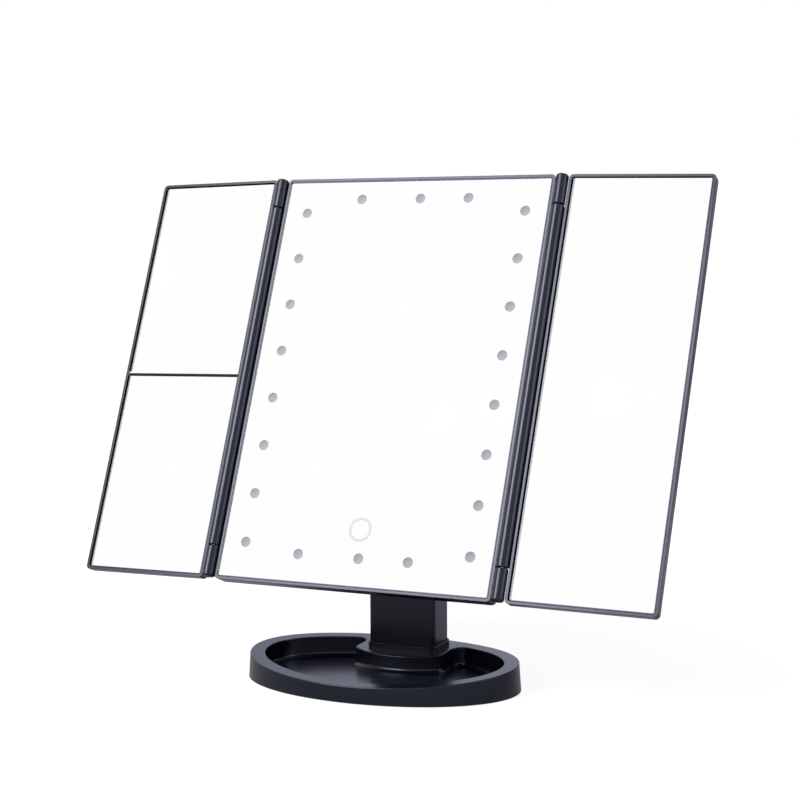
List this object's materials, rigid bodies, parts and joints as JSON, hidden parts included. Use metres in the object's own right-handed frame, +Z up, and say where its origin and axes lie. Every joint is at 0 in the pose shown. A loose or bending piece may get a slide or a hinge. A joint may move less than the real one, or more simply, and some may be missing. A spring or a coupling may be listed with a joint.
{
  "type": "trifold vanity mirror",
  "caption": "Tabletop vanity mirror: a lit centre panel with folding side panels, tilting on a stem that stands in an oval tray base.",
  "frame": {"origin": "middle of the base's footprint, on the surface it stands on", "axes": "+Z up; the mirrors face -Y; +X to the viewer's right of the centre panel"},
  "size_m": [0.342, 0.1108, 0.2794],
  "materials": {
    "black_abs": "satin moulded ABS",
    "rubber": "matt moulded rubber",
    "steel": "zinc-plated steel",
    "nylon": "natural nylon",
    "mirror_glass": "silvered float glass",
    "circuit_board": "solder-masked laminate",
    "led_package": "white package with yellow phosphor",
    "conductive_foam": "conductive foam and foil",
    "plated_steel": "nickel-plated sheet steel",
    "battery_wrap": "plain printed sleeve"
  },
  "bodies": {
    "stand": {"base_tray": "black_abs", "base_cover": "black_abs", "base_ring": "rubber", "base_screws": "steel", "stem_shell": "black_abs", "stem_rear_cover": "black_abs", "stem_collar": "black_abs", "stem_screws": "steel", "tilt_bushes": "nylon", "tilt_washers": "nylon"},
    "head": {"tilt_bracket": "black_abs", "bracket_screws": "steel", "tilt_bolt": "steel", "tilt_nut": "steel", "centre_frame": "black_abs", "centre_mirror": "mirror_glass", "led_boards": "circuit_board", "leds": "led_package", "touch_contact": "conductive_foam", "control_board": "circuit_board", "board_screws": "steel", "usb_socket": "plated_steel", "switch_body": "plated_steel", "back_housing": "black_abs", "housing_screws": "steel", "batteries": "battery_wrap", "battery_springs": "plated_steel", "battery_plates": "plated_steel", "left_hinge_pin": "steel", "right_hinge_pin": "steel"},
    "left_panel": {"left_frame": "black_abs", "left_back": "black_abs", "left_upper_mirror": "mirror_glass", "left_lower_mirror": "mirror_glass"},
    "right_panel": {"right_frame": "black_abs", "right_back": "black_abs", "right_mirror": "mirror_glass"},
    "switch_knob": {"power_switch": "black_abs"},
    "door": {"battery_door": "black_abs"}
  },
  "joints": [
    {"name": "head_tilt", "type": "hinge", "parent": "stand", "child": "head", "pos_m": [0, 0.0336, 0.1565], "axis": [-1, 0, 0], "range_deg": [-22.5, 67.5]},
    {"name": "left_fold", "type": "hinge", "parent": "head", "child": "left_panel", "pos_m": [-0.0865, 0.00311, 0.16913], "axis": [0, 0.3827, 0.9239], "range_deg": [-0.8, 183.2]},
    {"name": "right_fold", "type": "hinge", "parent": "head", "child": "right_panel", "pos_m": [0.0865, 0.00311, 0.16913], "axis": [0, -0.3827, -0.9239], "range_deg": [-1.6, 182.4]},
    {"name": "power_slide", "type": "slide", "parent": "head", "child": "switch_knob", "axis": [0, 0.3827, 0.9239], "range_m": [0, 0.004]},
    {"name": "door_slide", "type": "slide", "parent": "head", "child": "door", "axis": [0, 0.3827, 0.9239], "range_m": [0, 0.009]}
  ]
}
